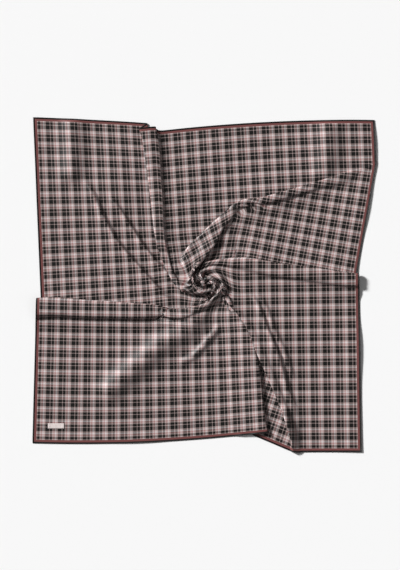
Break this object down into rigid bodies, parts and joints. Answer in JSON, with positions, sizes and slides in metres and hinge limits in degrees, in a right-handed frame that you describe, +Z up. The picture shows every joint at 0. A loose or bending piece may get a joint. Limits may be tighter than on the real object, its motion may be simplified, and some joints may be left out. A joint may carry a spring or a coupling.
{
  "type": "silk scarf",
  "caption": "Square plaid silk scarf laid flat and pinched at its middle, with soft tucks swirling out from a small rosette to its rolled hem.",
  "frame": {"origin": "on the resting surface, under the middle of the scarf's outline", "axes": "+Z up from the surface, +X to the right and +Y up the cloth as it is seen from above"},
  "size_m": [0.8599, 0.8385, 0.0233],
  "materials": {
    "silk": "satin woven silk, black and pale rose plaid",
    "label_tape": "blank woven label tape, matte"
  },
  "bodies": {
    "root": {"scarf_cloth": "silk", "sewn_label": "label_tape"}
  },
  "joints": []
}
